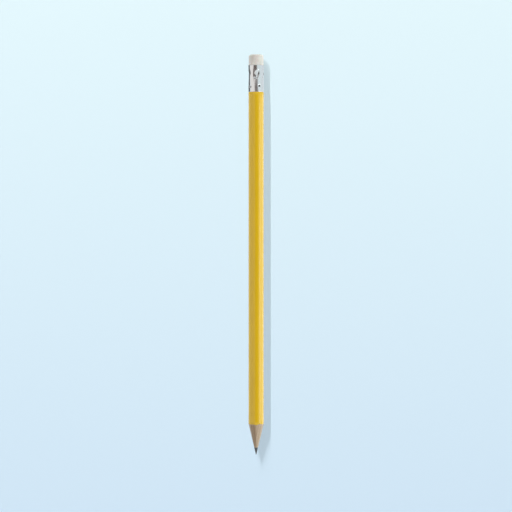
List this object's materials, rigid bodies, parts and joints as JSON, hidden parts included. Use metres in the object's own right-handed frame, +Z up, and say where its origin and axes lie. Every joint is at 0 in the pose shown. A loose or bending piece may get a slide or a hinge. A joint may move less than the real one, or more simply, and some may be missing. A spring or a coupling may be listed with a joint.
{
  "type": "pencil",
  "caption": "Round wood-cased graphite pencil, yellow lacquered, sharpened, with a crimped aluminium ferrule holding a white eraser plug.",
  "frame": {"origin": "on the table, under the pencil's axis, midway between the graphite tip and the end of the eraser", "axes": "+Y along the pencil's axis from the point towards the eraser, +Z up from the table that the barrel lies on, +X to the right as seen from above with the eraser at the top"},
  "size_m": [0.0074, 0.19, 0.0073],
  "materials": {
    "graphite": "fired graphite and clay, dark grey with a soft metallic sheen",
    "glue": "cured wood glue, a hairline on the sharpened cone",
    "wood": "bare pale brown softwood with fine straight grain, cut by the sharpener",
    "lacquer": "glossy yellow lacquer in several thin coats",
    "ferrule": "bright drawn aluminium, crimped",
    "eraser": "matt off-white synthetic rubber"
  },
  "bodies": {
    "root": {"graphite_core": "graphite", "glue_line": "glue", "casing_half_left": "wood", "casing_half_right": "wood", "lacquer_coat": "lacquer", "ferrule": "ferrule", "eraser": "eraser"}
  },
  "joints": []
}
